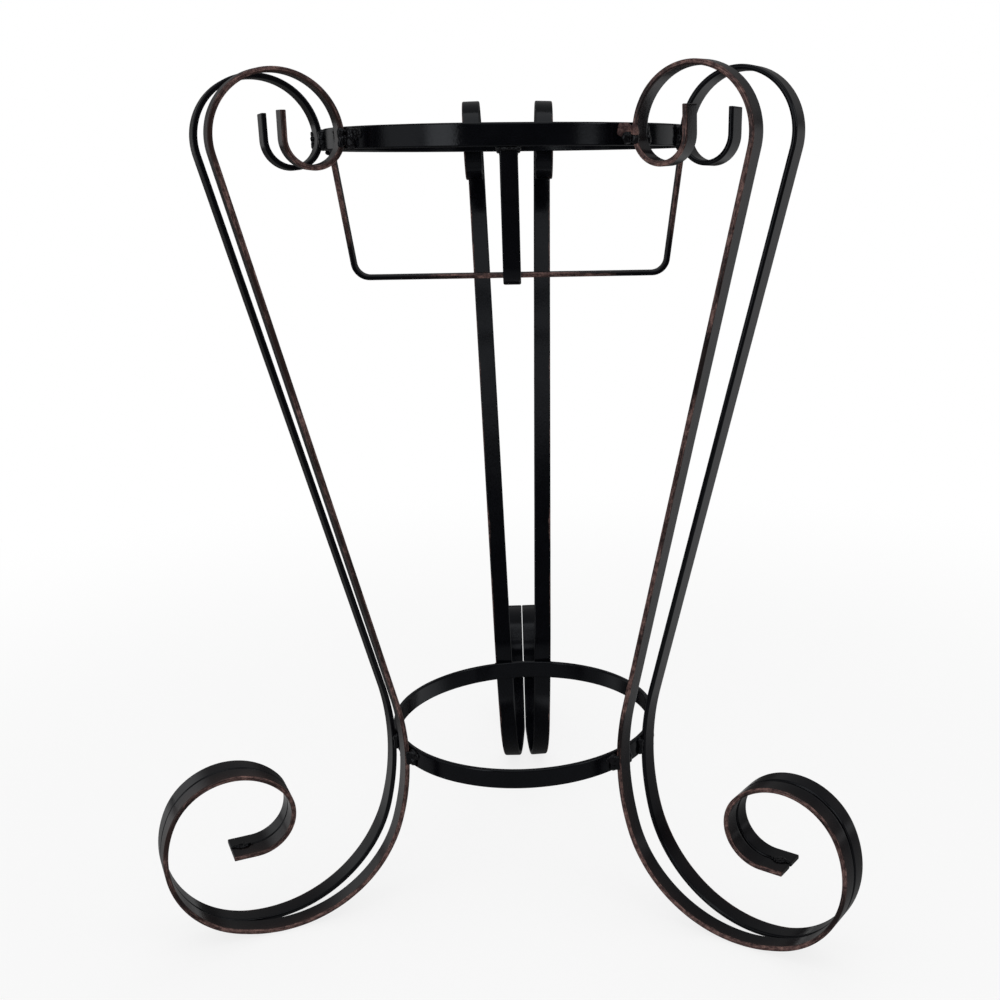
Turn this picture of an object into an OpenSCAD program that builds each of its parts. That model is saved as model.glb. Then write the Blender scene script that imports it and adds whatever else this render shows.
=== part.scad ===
// Plant stand of welded flat bar: two rings, three scrolled legs made of twin bars,
// and a cradle of two crossing straps under the top ring.
// Origin: on the floor, on the common axis of the two rings. +Z is up.

/* [Flat bar] */
// Width of the flat bar in the legs and rings
bar_w = 12.7; // [10:0.1:16]
// Thickness of the flat bar in the legs and rings
bar_t = 3.2; // [2.4:0.1:4.2]

/* [Rings] */
// Outer diameter of the top ring, which holds the pot
top_ring_d = 225; // [200:1:250]
// Height of the middle of the top ring above the floor
top_ring_z = 497; // [430:1:560]
// Outer diameter of the bottom ring
bottom_ring_d = 181; // [160:1:200]

/* [Leg directions] */
// Direction of the left leg, in degrees from +X
left_leg_angle = 202; // [195:1:212]
// Direction of the right leg, in degrees from +X
right_leg_angle = 322; // [315:1:332]
// Direction of the back leg, in degrees from +X
back_leg_angle = 90; // [80:1:100]

/* [Leg] */
// Lean of each bar of a leg away from its twin, in degrees
splay = 1.6; // [1:0.1:2.2]
// Turn of each bar away from its twin over the floor, seen from above, in degrees
toe_in = 3.8; // [3:0.1:5]
// Gap between the twin bars over the foot
pair_gap = 0.2; // [0.1:0.05:0.6]
// Bend radius where the leg meets the bottom ring
waist_r = 160; // [130:1:190]
// Turn of that bend below the bottom ring, in degrees
waist_sweep = 16.5; // [12:0.5:22]

/* [Foot scroll] */
// Bend radius of the stretch that comes down to the floor
heel_r = 83; // [72:1:95]
// Turn of that bend beyond the point where it meets the floor, in degrees
heel_past = 19; // [10:1:28]
// Bend radius of the outer side of the scroll
toe_r = 61; // [52:1:70]
// Turn of the outer side, in degrees
toe_sweep = 96.5; // [85:0.5:108]
// Bend radius over the top of the scroll
crest_r = 41; // [36:1:48]
// Turn over the top, in degrees
crest_sweep = 115; // [100:1:125]
// Bend radius of the eye of the scroll
eye_r = 24.5; // [20:0.5:29]
// Turn of the eye, in degrees
eye_sweep = 130; // [115:1:140]
// Length of the straight end of the scroll
foot_end_len = 14.5; // [10:0.5:20]

/* [Top scroll] */
// Bend radius of the large scroll over the top ring
scroll_r = 36; // [30:1:42]
// Bend radius of the small curl under it
curl_r = 16; // [13:0.5:19]
// Length of the straight hook after the curl
hook_len = 15; // [8:1:20]
// Height by which the back leg's scrolls sit lower than the others
back_drop = 8; // [0:0.5:10]

/* [Pot cradle] */
// Width of the straps
strap_w = 10.2; // [8:0.1:12.7]
// Thickness of the straps
strap_t = 3.2; // [2.4:0.1:4.2]
// Depth of the cradle floor below the top ring
cradle_drop = 72; // [60:1:90]
// Distance between the lower corners of a strap, on its middle line
cradle_span = 196; // [188:1:212]
// Bend radius of a strap's lower corners, on its middle line
strap_bend_r = 10; // [6:0.5:14]
// Part of a strap's thickness that lies under the ring's wall
strap_lap = 0.8; // [0.4:0.1:1.8]

/* [Weld beads] */
// Radius of a bead between a leg and the top ring
top_bead_r = 4; // [3:0.1:5]
// Radius of a bead between a leg and the bottom ring
bottom_bead_r = 3; // [2.4:0.1:4]
// Height of a bead along the bar
bead_len = 8; // [5:0.5:11]
// Radius of a bead between a strap end and the top ring
rim_bead_r = 3.2; // [2.4:0.1:4]
// Radius of a bead where the straps cross
cross_bead_r = 2.2; // [1.8:0.1:3]
// Diameter of the weld across the two ends of a foot scroll
foot_weld_d = 9; // [7:0.5:11]
// Height of that weld above the bars
foot_weld_h = 1.6; // [1:0.1:2.2]

/* [Clearances] */
// Gap between pieces where one seats on the other
seat_gap = 0.2; // [0.1:0.05:0.3]
// Gap between a weld bead and the pieces that it joins
weld_gap = 0.05; // [0.02:0.01:0.1]

/* [Hidden] */
$fn = 128;
paint = [0.07, 0.07, 0.08];
weld_colour = [0.16, 0.13, 0.12];

// Direction from the heel's centre to where the twin bars part, in degrees
part_dir = 286;
// Turn by which two stretches of a bar overlap, to each side of a change of direction, in degrees
lap = 1;
// Distance between an arc and the straight facets that stand for it
facet_sag = 0.03;
// Part of a bead's radius by which its middle line lies outside the corner that it fills
bead_lift = 1 / 4;
// Length by which a cut runs past what it cuts
overrun = 1;
floor_z = bar_t / 2;

// Middle line of a bar in the leg's own plane: u runs away from the axis, v runs up
// from the line's lowest point. The heel stands upright but turned away from the twin, and
// the bar leans from lean_v on, where its distance from the leg's middle plane is lean_t.
// Its arcs all turn the same way, so each centre lies on the last one's end radius.
twin_offset = (bar_w + pair_gap) / 2;
lean_dir = 180 + waist_sweep + lap;
lean_v = heel_r * (1 + sin(lean_dir));
lean_t = twin_offset + heel_r * (cos(part_dir + lap) - cos(lean_dir)) * sin(toe_in);
waist_v = heel_r + (waist_r - heel_r) * sin(waist_sweep);
scroll_v = lean_v + (top_ring_z - floor_z - lean_v) / cos(splay);
bottom_ring_z = floor_z + lean_v + (waist_v - lean_v) * cos(splay);
function ray(a) = [cos(a), sin(a)];
function sideways(v) = lean_t + (v - lean_v) * sin(splay);
function inner_edge(v) = sideways(v) - bar_w / 2 * cos(splay);
function outer_edge(v) = sideways(v) + bar_w / 2 * cos(splay);
// The inner edge of a bar seats on the outside of the ring that it is welded to.
function seat_u(ring_d, v) = sqrt(pow(ring_d / 2 + seat_gap, 2) - pow(inner_edge(v), 2));
waist_u = seat_u(bottom_ring_d, waist_v) + bar_t / 2;
waist_centre = [waist_u + waist_r, waist_v];
scroll_u = seat_u(top_ring_d, scroll_v) + bar_t / 2 + scroll_r;
function scroll_centre(drop) = [scroll_u, scroll_v - drop];

// The straight stretch is the inner tangent of the waist bend and the top scroll.
function run(drop) = scroll_centre(drop) - waist_centre;
function leg_lean(drop) = atan2(run(drop)[0], run(drop)[1]) + asin((waist_r + scroll_r) / norm(run(drop)));

// Arcs below the straight stretch, from the waist bend to the eye of the foot scroll.
foot_r = [waist_r, heel_r, toe_r, crest_r, eye_r];
heel_end = 270 + heel_past;
toe_end = heel_end + toe_sweep;
crest_end = toe_end + crest_sweep;
eye_end = crest_end + eye_sweep;
foot_end = [180 + waist_sweep, heel_end, toe_end, crest_end, eye_end];
function foot_centre(i) =
    i == 0 ? waist_centre : foot_centre(i - 1) + (foot_r[i - 1] - foot_r[i]) * ray(foot_end[i - 1]);

// Points along an arc, from its first or second station to its last
function steps(r, sweep) = ceil(abs(sweep) / (2 * acos(1 - facet_sag / r)));
function arc(centre, r, offset, from, to, first) =
    [for (i = [first:steps(r, to - from)])
        centre + (r + offset) * ray(from + (to - from) * i / steps(r, to - from))];
function reversed(points) = [for (i = [len(points) - 1:-1:0]) points[i]];
// Closed outline between the two faces of a bent bar
function band(face_a, face_b) = concat(face_a, reversed(face_b));

// One face of a bar above the heel: waist, straight stretch, top scroll, curl, hook
function curl_centre(drop) = scroll_centre(drop) - [scroll_r - curl_r, 0];
function upper_edge(s, drop) = concat(
    arc(foot_centre(1), heel_r, s, lean_dir + lap, foot_end[0], 0),
    arc(waist_centre, waist_r, s, foot_end[0], 180 - leg_lean(drop), 1),
    arc(scroll_centre(drop), scroll_r, -s, -leg_lean(drop), 180, 0),
    arc(curl_centre(drop), curl_r, -s, 180, 360, 1),
    [curl_centre(drop) + [curl_r - s, hook_len]]
);

// One face of the heel, between the foot scroll and the waist
lean_u = foot_centre(1)[0] + heel_r * cos(lean_dir);
function heel_edge(s) = arc(foot_centre(1), heel_r, s, part_dir + lap, foot_end[0], 0);

// One face of the foot scroll, where a bar lies flat against its twin
foot_tip = foot_centre(4) + eye_r * ray(eye_end) + foot_end_len * ray(eye_end + 90);
function foot_edge(s) = concat(
    arc(foot_centre(1), heel_r, s, part_dir - lap, foot_end[1], 0),
    arc(foot_centre(2), toe_r, s, foot_end[1], foot_end[2], 1),
    arc(foot_centre(3), crest_r, s, foot_end[2], foot_end[3], 1),
    arc(foot_centre(4), eye_r, s, foot_end[3], foot_end[4], 1),
    [foot_tip + s * ray(eye_end)]
);

// Cradle. Its straps hang from the ring's lower edge and lean in towards their corners.
top_ring_bottom = top_ring_z - bar_w / 2;
pot_rest_z = top_ring_bottom - cradle_drop;
cross_strap_z = pot_rest_z - strap_t / 2;
side_strap_z = cross_strap_z - strap_t - seat_gap;
strap_end_u = top_ring_d / 2 - bar_t + strap_lap - strap_t / 2;
strap_end_z = top_ring_bottom - seat_gap;
strap_corner_u = cradle_span / 2;
function strap_turn(z) = 90 - atan2(strap_end_u - strap_corner_u, strap_end_z - z);
function strap_setback(z) = strap_bend_r * tan(strap_turn(z) / 2);
function strap_edge(z, s) = concat(
    arc([strap_corner_u - strap_setback(z), strap_bend_r], strap_bend_r, s, -90, strap_turn(z) - 90, 0),
    [[strap_end_u + s / sin(strap_turn(z)), strap_end_z - z]]
);

// A hoop of flat bar standing on its edge
module hoop(diameter, z) {
    color(paint)
        translate([0, 0, z - bar_w / 2])
            difference() {
                cylinder(h = bar_w, d = diameter);
                translate([0, 0, -overrun])
                    cylinder(h = bar_w + 2 * overrun, d = diameter - 2 * bar_t);
            }
}

// Flat bar whose bent outline lies in the XY plane, its width centred on that plane
module flat(outline, w) {
    translate([0, 0, -w / 2])
        linear_extrude(height = w)
            polygon(outline);
}

// Stretch of bar whose outline stands upright in the XZ plane
module stretch(outline) {
    rotate([90, 0, 0])
        flat(outline, bar_w);
}

// One bar of a leg, on one side of the leg's middle plane: upper part, heel and foot scroll
module leg_bar(angle, side, drop = 0) {
    color(paint)
        rotate([0, 0, angle])
            union() {
                translate([0, side * lean_t, floor_z + lean_v])
                    rotate([-side * splay, 0, 0])
                        translate([0, 0, -lean_v])
                            stretch(band(upper_edge(bar_t / 2, drop), upper_edge(-bar_t / 2, drop)));
                translate([lean_u, side * lean_t, floor_z])
                    rotate([0, 0, -side * toe_in])
                        translate([-lean_u, 0, 0])
                            stretch(band(heel_edge(bar_t / 2), heel_edge(-bar_t / 2)));
                translate([0, side * twin_offset, floor_z])
                    stretch(band(foot_edge(bar_t / 2), foot_edge(-bar_t / 2)));
            }
}

// Row of overlapping round drops along Z
module drops(radius, length) {
    for (z = [-length / 2, 0, length / 2])
        translate([0, 0, z])
            sphere(r = radius);
}

// Bead in the corner between a ring and one edge of a bar.
// edge is 1 for the edge away from the twin bar and -1 for the edge towards it.
module ring_bead(angle, side, edge, ring_d, ring_z, v, radius) {
    t_edge = edge > 0 ? outer_edge(v) : inner_edge(v);
    t_bead = t_edge + edge * radius * bead_lift;
    u_bead = sqrt(pow(ring_d / 2, 2) - pow(t_bead, 2)) + radius * bead_lift;
    block = 4 * radius + bead_len;
    difference() {
        rotate([0, 0, angle])
            translate([u_bead, side * t_bead, ring_z])
                drops(radius, bead_len);
        translate([0, 0, ring_z - block / 2])
            cylinder(h = block, r = ring_d / 2 + weld_gap);
        rotate([0, 0, angle])
            translate([u_bead - block / 2, side * (t_edge + edge * weld_gap), ring_z])
                rotate([-side * splay, 0, 0])
                    translate([0, side * edge > 0 ? -block : 0, -block / 2])
                        cube(block);
    }
}

module ring_beads(angle, ring_d, ring_z, v, radius) {
    color(weld_colour)
        for (side = [-1, 1], edge = [-1, 1])
            ring_bead(angle, side, edge, ring_d, ring_z, v, radius);
}

module top_beads(angle) {
    ring_beads(angle, top_ring_d, top_ring_z, scroll_v, top_bead_r);
}

module bottom_beads(angle) {
    ring_beads(angle, bottom_ring_d, bottom_ring_z, waist_v, bottom_bead_r);
}

// Low round weld over the seam between the two ends of a foot scroll
module foot_weld(angle) {
    cap_r = (pow(foot_weld_d / 2, 2) + pow(foot_weld_h, 2)) / (2 * foot_weld_h);
    seat = foot_tip - foot_end_len / 2 * ray(eye_end + 90) - (bar_t / 2 + weld_gap) * ray(eye_end);
    color(weld_colour)
        rotate([0, 0, angle])
            translate([seat[0], 0, floor_z + seat[1]])
                rotate([0, -90 - eye_end, 0])
                    intersection() {
                        translate([0, 0, foot_weld_h - cap_r])
                            sphere(r = cap_r);
                        cylinder(h = foot_weld_h + overrun, r = foot_weld_d);
                    }
}

// Strap bent to a wide U in the XZ plane, its ends level under the ring
module strap(z) {
    right_half = band(strap_edge(z, strap_t / 2), strap_edge(z, -strap_t / 2));
    left_half = [for (p = right_half) [-p[0], p[1]]];
    color(paint)
        translate([0, 0, z])
            rotate([90, 0, 0])
                flat(concat(right_half, reversed(left_half)), strap_w);
}

// Beads under the ring, round the outer face and the two edges of each strap end
module rim_beads() {
    outer_face = strap_end_u + strap_t / 2 + weld_gap;
    slot_w = strap_w + 2 * weld_gap;
    block = strap_w + 4 * rim_bead_r;
    color(weld_colour)
        for (a = [0:90:270])
            rotate([0, 0, a])
                difference() {
                    translate([outer_face, 0, top_ring_bottom - weld_gap])
                        rotate([90, 0, 0])
                            drops(rim_bead_r, strap_w);
                    translate([outer_face - block / 2, -block / 2, top_ring_bottom - weld_gap])
                        cube(block);
                    translate([outer_face - block, -slot_w / 2, top_ring_bottom - block])
                        cube([block, slot_w, 2 * block]);
                }
}

// Beads in the two corners where the upper strap crosses the lower one
module cross_beads() {
    slot_w = strap_w + 2 * weld_gap;
    block = slot_w + 4 * cross_bead_r;
    color(weld_colour)
        for (side = [-1, 1])
            difference() {
                translate([0, side * slot_w / 2, side_strap_z + strap_t / 2])
                    rotate([0, 90, 0])
                        drops(cross_bead_r, strap_w - 2 * cross_bead_r);
                translate([-block / 2, -slot_w / 2, side_strap_z - block / 2])
                    cube([block, slot_w, block]);
                translate([-block / 2, -block / 2, cross_strap_z - strap_t / 2 - weld_gap])
                    cube(block);
            }
}

module top_ring() { hoop(top_ring_d, top_ring_z); }
module bottom_ring() { hoop(bottom_ring_d, bottom_ring_z); }
module left_leg_front_bar() { leg_bar(left_leg_angle, 1); }
module left_leg_rear_bar() { leg_bar(left_leg_angle, -1); }
module right_leg_front_bar() { leg_bar(right_leg_angle, -1); }
module right_leg_rear_bar() { leg_bar(right_leg_angle, 1); }
module back_leg_left_bar() { leg_bar(back_leg_angle, 1, back_drop); }
module back_leg_right_bar() { leg_bar(back_leg_angle, -1, back_drop); }
module cradle_side_strap() { strap(side_strap_z); }
module cradle_cross_strap() { rotate([0, 0, 90]) strap(cross_strap_z); }
module left_leg_top_welds() { top_beads(left_leg_angle); }
module right_leg_top_welds() { top_beads(right_leg_angle); }
module back_leg_top_welds() { top_beads(back_leg_angle); }
module left_leg_bottom_welds() { bottom_beads(left_leg_angle); }
module right_leg_bottom_welds() { bottom_beads(right_leg_angle); }
module back_leg_bottom_welds() { bottom_beads(back_leg_angle); }
module left_foot_weld() { foot_weld(left_leg_angle); }
module right_foot_weld() { foot_weld(right_leg_angle); }
module back_foot_weld() { foot_weld(back_leg_angle); }
module cradle_rim_welds() { rim_beads(); }
module cradle_cross_welds() { cross_beads(); }

top_ring();
bottom_ring();
left_leg_front_bar();
left_leg_rear_bar();
right_leg_front_bar();
right_leg_rear_bar();
back_leg_left_bar();
back_leg_right_bar();
cradle_side_strap();
cradle_cross_strap();
left_leg_top_welds();
right_leg_top_welds();
back_leg_top_welds();
left_leg_bottom_welds();
right_leg_bottom_welds();
back_leg_bottom_welds();
left_foot_weld();
right_foot_weld();
back_foot_weld();
cradle_rim_welds();
cradle_cross_welds();
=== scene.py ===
import math
import random

import bmesh
import bpy
from mathutils import Matrix, Vector, noise


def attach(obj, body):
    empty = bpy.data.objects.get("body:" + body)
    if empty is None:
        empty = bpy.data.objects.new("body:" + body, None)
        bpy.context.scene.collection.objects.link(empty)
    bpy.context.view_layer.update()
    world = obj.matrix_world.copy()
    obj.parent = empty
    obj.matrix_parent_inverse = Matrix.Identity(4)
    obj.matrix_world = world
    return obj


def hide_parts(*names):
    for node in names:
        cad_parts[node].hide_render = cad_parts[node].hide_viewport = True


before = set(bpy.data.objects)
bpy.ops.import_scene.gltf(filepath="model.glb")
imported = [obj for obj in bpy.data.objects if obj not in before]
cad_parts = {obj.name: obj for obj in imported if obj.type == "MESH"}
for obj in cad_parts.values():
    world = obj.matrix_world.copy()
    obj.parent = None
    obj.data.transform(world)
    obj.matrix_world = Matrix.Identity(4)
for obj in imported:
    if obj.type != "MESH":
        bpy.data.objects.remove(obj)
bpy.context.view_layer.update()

# ---- Driving sizes in millimetres and degrees, the same as the solids' ----
BAR_W, BAR_T = 12.7, 3.2
TOP_RING_D, TOP_RING_Z, BOTTOM_RING_D = 225.0, 497.0, 181.0
LEGS = {"left": 202.0, "right": 322.0, "back": 90.0}
SPLAY, TOE_IN, PAIR_GAP = 1.6, 3.8, 0.2
WAIST_R, WAIST_SWEEP = 160.0, 16.5
HEEL_R, HEEL_PAST = 83.0, 19.0
TOE_R, TOE_SWEEP = 61.0, 96.5
CREST_R, CREST_SWEEP = 41.0, 115.0
EYE_R, EYE_SWEEP = 24.5, 130.0
FOOT_END_LEN = 14.5
SCROLL_R, CURL_R, HOOK_LEN, BACK_DROP = 36.0, 16.0, 15.0, 8.0
STRAP_W, STRAP_T = 10.2, 3.2
CRADLE_DROP, CRADLE_SPAN, STRAP_BEND_R, STRAP_LAP = 72.0, 196.0, 10.0, 0.8
TOP_BEAD_R, BOTTOM_BEAD_R, BEAD_LEN = 4.0, 3.0, 8.0
FOOT_WELD_D = 9.0
SEAT_GAP, PART_DIR, LAP = 0.2, 286.0, 1.0
MM = 0.001

# ---- Detail of the visual model, in millimetres ----
# Distance between stations along a bar, finer where it bends more tightly
EYE_STEP, CREST_STEP, TOE_STEP, LEG_STEP = 1.4, 1.8, 2.0, 2.2
SCROLL_STEP, CURL_STEP, HOOK_STEP = 1.6, 1.1, 1.2
STRAP_STEP, STRAP_BEND_STEP = 2.0, 0.8
HOOP_STATIONS = 300
SAME_PLACE = 1e-6
# Lengths over which the twins turn away from each other, and over which a bar takes up its lean
PART_BEND, LEAN_BEND = 16.0, 44.0
# Rounding along a bar's edges and round its cut ends
CORNER_R, LEAST_CORNER_R, CORNER_TURNS = 1.0, 0.12, 4
BLUNT, BLUNT_TURNS = 0.45, (90, 60, 30, 0)
BLUNT_REACH = 1.4 * BLUNT
# Points across a wide face, and the ones close to its corners that keep it flat
FACE_CUTS, HOLD = 5, 0.22
EDGE_CUTS = (0.14, 0.5, 0.86)
# Unevenness of hand-bent bar: how far it lies inside its size, and the length and share of its waves
LEAST_SAG, SAG = 0.02, 0.07
LONG_WAVE, SHORT_WAVE = (15.0, 0.75), (4.0, 0.25)
# Shift of the noise from one seed to the next, on bars and on weld metal
BAR_SHIFT, LUMP_SHIFT = (17.3, 5.1, 9.7), (3.7, 8.3, 1.9)
# How far a leg bar's inner edge stands back from its twin, and the radius of the corners there
SEAM = {"left": 0.08, "right": 0.35, "back": 0.1}
SEAM_CORNER_R = {"left": 0.8, "right": 1.4, "back": 1.0}


def cosd(a):
    return math.cos(math.radians(a))


def sind(a):
    return math.sin(math.radians(a))


def ray(a):
    return Vector((cosd(a), sind(a)))


def smooth(x):
    x = min(max(x, 0.0), 1.0)
    return x * x * (3 - 2 * x)


# ---- Middle line of a bar, in the leg's own plane: u away from the axis, v up ----
FLOOR_Z = BAR_T / 2
TWIN_OFFSET = (BAR_W + PAIR_GAP) / 2
LEAN_DIR = 180 + WAIST_SWEEP + LAP
LEAN_V = HEEL_R * (1 + sind(LEAN_DIR))
LEAN_T = TWIN_OFFSET + HEEL_R * (cosd(PART_DIR + LAP) - cosd(LEAN_DIR)) * sind(TOE_IN)
WAIST_V = HEEL_R + (WAIST_R - HEEL_R) * sind(WAIST_SWEEP)
SCROLL_V = LEAN_V + (TOP_RING_Z - FLOOR_Z - LEAN_V) / cosd(SPLAY)
BOTTOM_RING_Z = FLOOR_Z + LEAN_V + (WAIST_V - LEAN_V) * cosd(SPLAY)


def sideways(v):
    """Distance of a leaning bar's middle from the leg's middle plane."""
    return LEAN_T + (v - LEAN_V) * sind(SPLAY)


def edge_t(v, edge):
    """Distance of a bar's edge from the leg's middle plane: edge 1 away from the twin, -1 towards it."""
    return sideways(v) + edge * BAR_W / 2 * cosd(SPLAY)


def seat_u(ring_d, v):
    """Where a bar's face meets the outside of a hoop."""
    return math.sqrt((ring_d / 2 + SEAT_GAP) ** 2 - edge_t(v, -1) ** 2)


WAIST_C = Vector((seat_u(BOTTOM_RING_D, WAIST_V) + BAR_T / 2 + WAIST_R, WAIST_V))
SCROLL_C = Vector((seat_u(TOP_RING_D, SCROLL_V) + BAR_T / 2 + SCROLL_R, SCROLL_V))

HEEL_END = 270 + HEEL_PAST
TOE_END = HEEL_END + TOE_SWEEP
CREST_END = TOE_END + CREST_SWEEP
EYE_END = CREST_END + EYE_SWEEP
HEEL_C = WAIST_C + (WAIST_R - HEEL_R) * ray(180 + WAIST_SWEEP)
LEAN_U = HEEL_C.x + HEEL_R * cosd(LEAN_DIR)
TOE_C = HEEL_C + (HEEL_R - TOE_R) * ray(HEEL_END)
CREST_C = TOE_C + (TOE_R - CREST_R) * ray(TOE_END)
EYE_C = CREST_C + (CREST_R - EYE_R) * ray(CREST_END)
EYE_P = EYE_C + EYE_R * ray(EYE_END)
FOOT_TIP = EYE_P + FOOT_END_LEN * ray(EYE_END + 90)


class Path:
    """Stations along a plane line: point, unit vector to the left of travel, run from the start."""

    def __init__(self):
        self.run, self.stations = 0.0, []

    def _add(self, point, left, run):
        if self.stations and run - self.stations[-1][2] < SAME_PLACE:
            self.stations.pop()
        self.stations.append((point, left, run))

    def line(self, a, b, step):
        length = (b - a).length
        along = (b - a) / length
        left = Vector((-along.y, along.x))
        count = max(1, round(length / step))
        for i in range(count + 1):
            self._add(a.lerp(b, i / count), left, self.run + length * i / count)
        self.run += length

    def arc(self, centre, r, start, end, step):
        length = math.radians(abs(end - start)) * r
        turn = 1 if end > start else -1
        count = max(2, round(length / step))
        for i in range(count + 1):
            out = ray(start + (end - start) * i / count)
            self._add(centre + r * out, -turn * out, self.run + length * i / count)
        self.run += length


def bar_path(drop):
    """From the end of the foot scroll, round the foot, up the leg and round the top scroll to the hook.
    Also gives the runs at which the twins part and at which the bar leans."""
    scroll_c = SCROLL_C - Vector((0, drop))
    curl_c = scroll_c - Vector((SCROLL_R - CURL_R, 0))
    way = scroll_c - WAIST_C
    leg_lean = math.degrees(math.atan2(way.x, way.y) + math.asin((WAIST_R + SCROLL_R) / way.length))
    path = Path()
    path.line(FOOT_TIP, EYE_P, EYE_STEP)
    path.arc(EYE_C, EYE_R, EYE_END, CREST_END, EYE_STEP)
    path.arc(CREST_C, CREST_R, CREST_END, TOE_END, CREST_STEP)
    path.arc(TOE_C, TOE_R, TOE_END, HEEL_END, TOE_STEP)
    part_run = path.run + math.radians(HEEL_END - PART_DIR) * HEEL_R
    lean_run = path.run + math.radians(HEEL_END - LEAN_DIR) * HEEL_R
    path.arc(HEEL_C, HEEL_R, HEEL_END, 180 + WAIST_SWEEP, LEG_STEP)
    path.arc(WAIST_C, WAIST_R, 180 + WAIST_SWEEP, 180 - leg_lean, LEG_STEP)
    path.line(WAIST_C + WAIST_R * ray(180 - leg_lean), scroll_c + SCROLL_R * ray(-leg_lean), LEG_STEP)
    path.arc(scroll_c, SCROLL_R, -leg_lean, 180, SCROLL_STEP)
    path.arc(curl_c, CURL_R, 180, 360, CURL_STEP)
    hook = curl_c + Vector((CURL_R, 0))
    path.line(hook, hook + Vector((0, HOOK_LEN)), HOOK_STEP)
    return path, part_run, lean_run


def leg_frame(angle):
    """Unit vectors of a leg: outwards, sideways and up."""
    out = Vector((cosd(angle), sind(angle), 0))
    return out, Vector((-out.y, out.x, 0)), Vector((0, 0, 1))


# ---- Stations in space: (centre, width vector, thickness vector, run) ----
def bar_stations(angle, side, drop):
    out, across, up = leg_frame(angle)
    path, part_run, lean_run = bar_path(drop)
    stations = []
    for point, left, run in path.stations:
        toe = smooth((run - part_run) / PART_BEND + 0.5)
        leg = smooth((run - lean_run) / LEAN_BEND + 0.5)
        u, v = point
        touching = Vector((u, TWIN_OFFSET, v))
        apart = max(LEAN_T - (u - LEAN_U) * sind(TOE_IN), TWIN_OFFSET)
        parted = Vector((LEAN_U + (u - LEAN_U) * cosd(TOE_IN), apart, v))
        leaning = Vector((u, sideways(v), LEAN_V + (v - LEAN_V) * cosd(SPLAY)))
        place = touching.lerp(parted, toe).lerp(leaning, leg)
        centre = out * place.x + across * (side * place.y) + up * (FLOOR_Z + place.z)
        turn, lean = TOE_IN * toe * (1 - leg), SPLAY * leg
        ahead = out * cosd(turn) - across * (side * sind(turn))
        aside = across * (side * cosd(turn)) + out * sind(turn)
        rise = up * cosd(lean) + aside * sind(lean)
        wide = aside * cosd(lean) - up * sind(lean)
        deep = ahead * left.x + rise * left.y
        stations.append((centre, wide, deep, run))
    return stations


def hoop_stations(diameter, z):
    r = diameter / 2 - BAR_T / 2
    stations = []
    for i in range(HOOP_STATIONS):
        angle = 360 * i / HOOP_STATIONS
        out, _, up = leg_frame(angle)
        stations.append((out * r + up * z, up, out, math.radians(angle) * r))
    return stations


POT_REST_Z = TOP_RING_Z - BAR_W / 2 - CRADLE_DROP
CROSS_Z = POT_REST_Z - STRAP_T / 2
SIDE_Z = CROSS_Z - STRAP_T - SEAT_GAP
STRAP_END_U = TOP_RING_D / 2 - BAR_T + STRAP_LAP - STRAP_T / 2
STRAP_END_Z = TOP_RING_Z - BAR_W / 2 - SEAT_GAP


def strap_stations(z, along):
    """U-shaped strap in the upright plane of the unit vector along."""
    corner_u = CRADLE_SPAN / 2
    turn = 90 - math.degrees(math.atan2(STRAP_END_U - corner_u, STRAP_END_Z - z))
    back = corner_u - STRAP_BEND_R * math.tan(math.radians(turn / 2))
    left_end, right_end = Vector((-STRAP_END_U, STRAP_END_Z)), Vector((STRAP_END_U, STRAP_END_Z))
    left_c, right_c = Vector((-back, z + STRAP_BEND_R)), Vector((back, z + STRAP_BEND_R))
    below = Vector((0, STRAP_BEND_R))
    path = Path()
    path.line(left_end, left_c + STRAP_BEND_R * ray(270 - turn), STRAP_STEP)
    path.arc(left_c, STRAP_BEND_R, 270 - turn, 270, STRAP_BEND_STEP)
    path.line(left_c - below, right_c - below, STRAP_STEP)
    path.arc(right_c, STRAP_BEND_R, 270, 270 + turn, STRAP_BEND_STEP)
    path.line(right_c + STRAP_BEND_R * ray(270 + turn), right_end, STRAP_STEP)
    up = Vector((0, 0, 1))
    wide = along.cross(up)
    stations = []
    for point, left, run in path.stations:
        stations.append((along * point.x + up * point.y, wide, along * left.x + up * left.y, run))
    # The ends are cut level, so that they lie along the hoop's lower edge
    for end in (0, -1):
        centre, _, deep, run = stations[end]
        flat = Vector((deep.x, deep.y, 0))
        stations[end] = (centre, wide, flat.normalized() / sind(turn), run)
    return stations


# ---- Flat bar swept along stations ----
def section(width, thick, inset=0.0, inner=CORNER_R):
    """Points round a rounded rectangle: width along the first axis, thickness along the second.
    The corners on the negative side of the width have the radius inner."""
    half_w, half_t = width / 2 - inset, thick / 2 - inset
    radius = {1: max(CORNER_R - inset / 2, LEAST_CORNER_R), -1: max(inner - inset / 2, LEAST_CORNER_R)}

    def corner_point(x, y, a):
        r = radius[x]
        return Vector((x * (half_w - r), y * (half_t - r))) + r * ray(a)

    points = []
    corners = ((1, 1, 0), (-1, 1, 90), (-1, -1, 180), (1, -1, 270))
    for k, (x, y, start) in enumerate(corners):
        for i in range(CORNER_TURNS + 1):
            points.append(corner_point(x, y, start + 90 * i / CORNER_TURNS))
        last, follow = points[-1], corner_point(*corners[(k + 1) % 4])
        cuts = EDGE_CUTS
        if k % 2 == 0:
            hold = HOLD / (follow - last).length
            cuts = [hold + (1 - 2 * hold) * i / FACE_CUTS for i in range(FACE_CUTS)] + [1 - hold]
        points += [last.lerp(follow, cut) for cut in cuts]
    return points


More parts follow.
